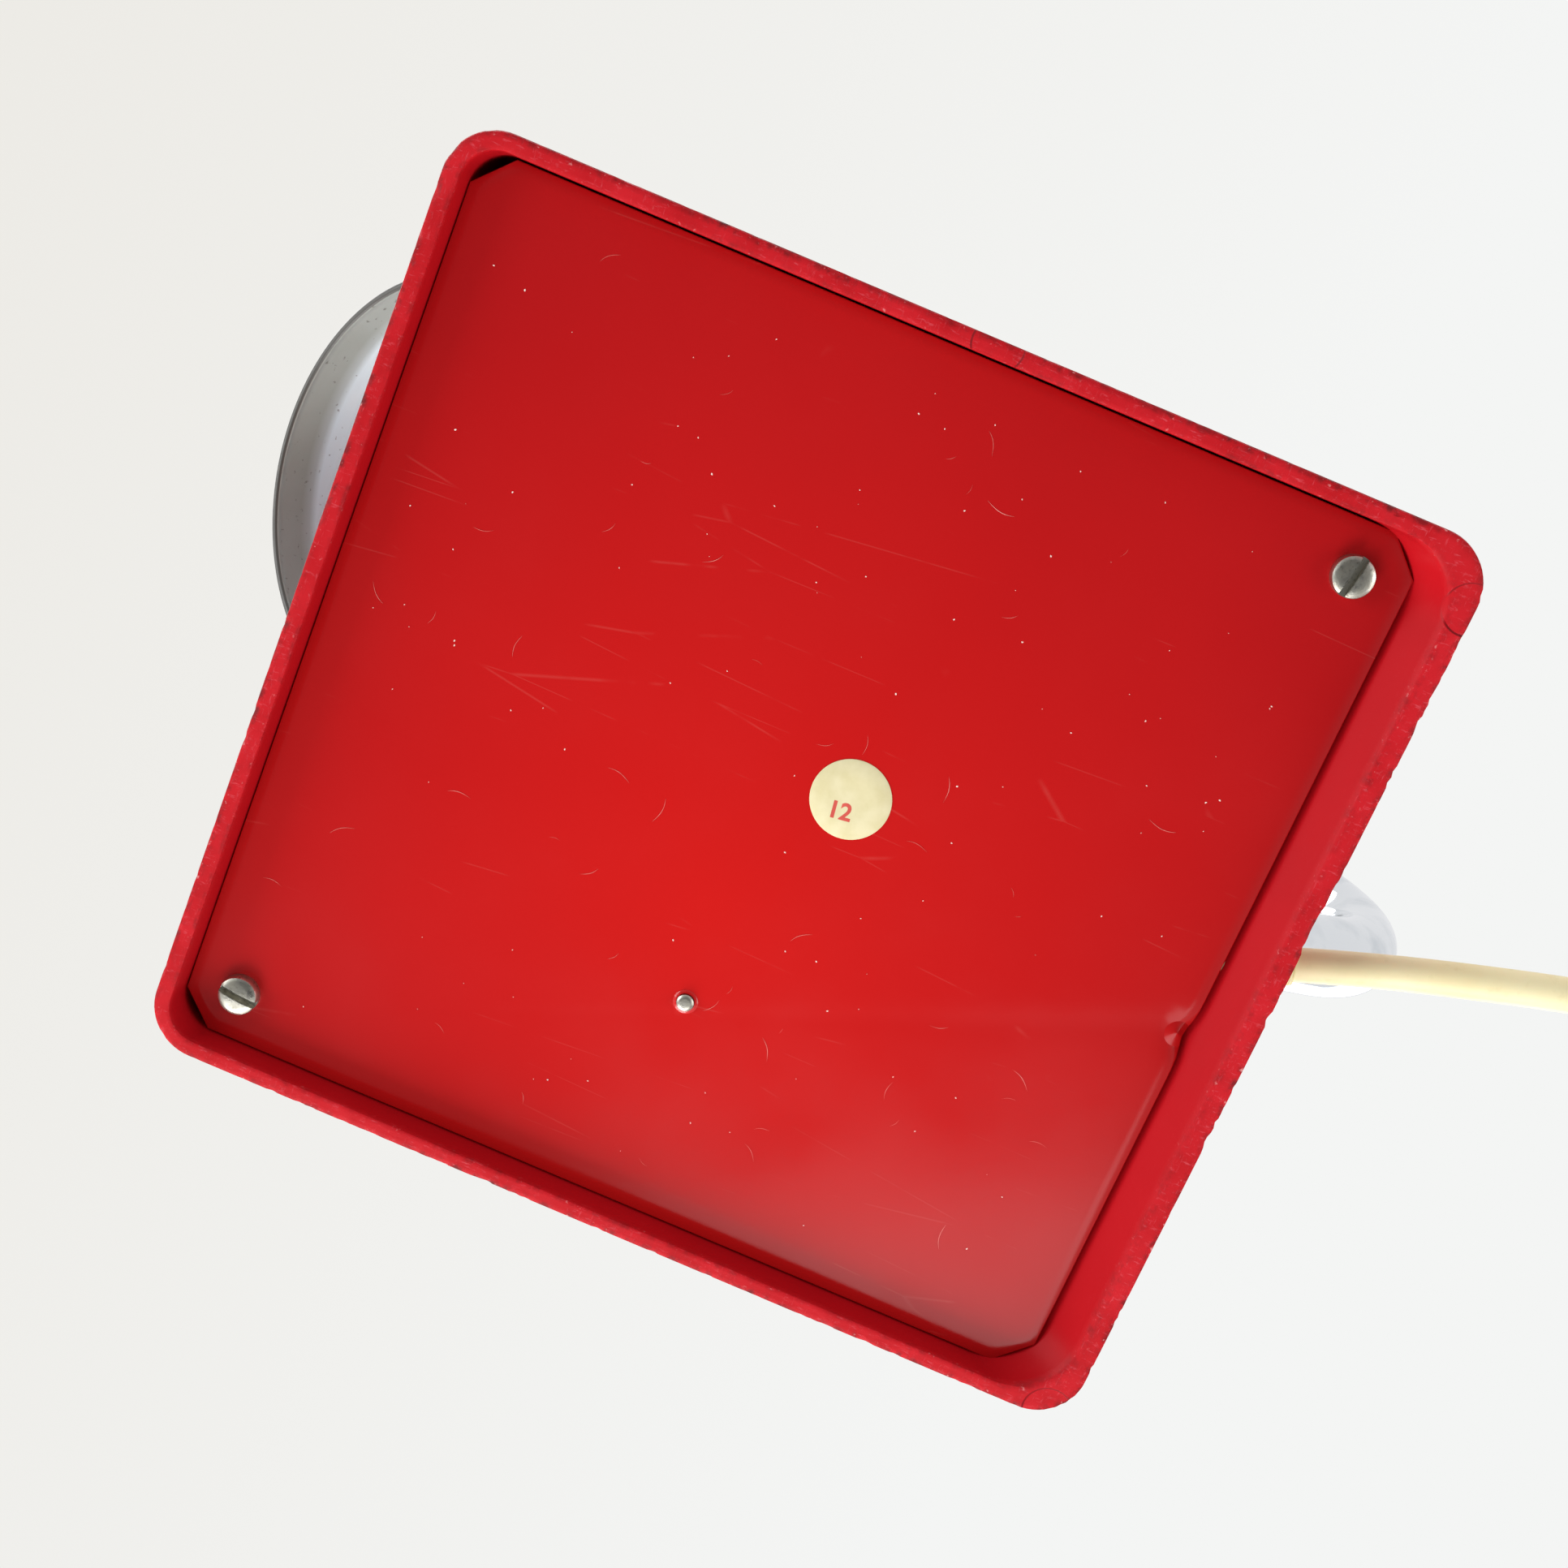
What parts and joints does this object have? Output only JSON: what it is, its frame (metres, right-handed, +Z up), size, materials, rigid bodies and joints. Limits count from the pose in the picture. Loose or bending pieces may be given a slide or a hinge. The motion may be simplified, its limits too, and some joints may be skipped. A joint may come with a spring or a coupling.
{
  "type": "darkroom safelight",
  "caption": "Small swan-neck safelight: wedge-backed box base with a screwed bottom plate, bent tube arm, tilting dome head with a red lamp, rocker switch and mains lead.",
  "frame": {"origin": "centre of the base's rim plane, on the surface that the lamp stands on", "axes": "+Z up; the head hangs over -Y and the mains lead leaves towards +Y; +X completes the right-handed frame, with the switch on the +X side"},
  "size_m": [0.2469, 0.3566, 0.2343],
  "materials": {
    "red_abs": "moulded ABS coloured right through, scuffed along the rim",
    "red_lacquer": "glossy red lacquer on sheet steel",
    "nickel_screws": "worn nickel plate",
    "cast_iron": "rough cast",
    "label_paper": "matt cream paper label",
    "chrome": "bright chrome plate",
    "zinc_steel": "zinc plate",
    "grey_enamel": "satin grey stove enamel, pale inside",
    "red_enamel": "glossy red enamel",
    "black_bakelite": "phenolic moulding",
    "black_plastic": "moulded nylon",
    "red_glass": "red lacquered lamp glass",
    "brass": "pressed brass",
    "cream_pvc": "aged cream PVC",
    "clear_nylon": "natural nylon"
  },
  "bodies": {
    "base": {"base_housing": "red_abs", "bottom_plate": "red_lacquer", "plate_screws": "nickel_screws", "ballast_screw": "nickel_screws", "terminal_screw": "nickel_screws", "clip_screw": "nickel_screws", "swivel_screw": "nickel_screws", "ballast_weight": "cast_iron", "sticker": "label_paper", "arm_tube": "chrome", "arm_collar": "chrome", "arm_washer": "zinc_steel", "arm_locknut": "zinc_steel", "terminal_block": "black_bakelite", "switch_body": "black_plastic", "plug_pins": "brass", "power_cord": "cream_pvc", "cord_coil": "cream_pvc", "cord_tail": "cream_pvc", "supply_lead": "cream_pvc", "arm_lead": "cream_pvc", "strain_relief": "cream_pvc", "plug_body": "cream_pvc", "lead_clip": "clear_nylon"},
    "tongue": {"tilt_tongue": "chrome"},
    "head": {"head_fork": "chrome", "fork_nipple": "zinc_steel", "nipple_nut": "zinc_steel", "pivot_screw": "nickel_screws", "pivot_nut": "chrome", "pivot_washers": "black_plastic", "head_shade": "grey_enamel", "rear_cap": "red_enamel", "lampholder": "black_bakelite", "lampholder_ring": "black_bakelite", "bulb_glass": "red_glass", "bulb_cap": "brass"},
    "rocker": {"switch_rocker": "black_plastic"}
  },
  "joints": [
    {"name": "head_swivel", "type": "hinge", "parent": "base", "child": "tongue", "pos_m": [0, -0.022, 0.2263], "axis": [0, 1, 0], "range_deg": [-60, 60]},
    {"name": "head_tilt", "type": "hinge", "parent": "tongue", "child": "head", "pos_m": [0, -0.0416, 0.2263], "axis": [1, 0, 0], "range_deg": [-60, 35]},
    {"name": "rocker_rock", "type": "hinge", "parent": "base", "child": "rocker", "pos_m": [0.045, -0.02, 0.0475], "axis": [1, 0, 0], "range_deg": [0, 18]}
  ]
}
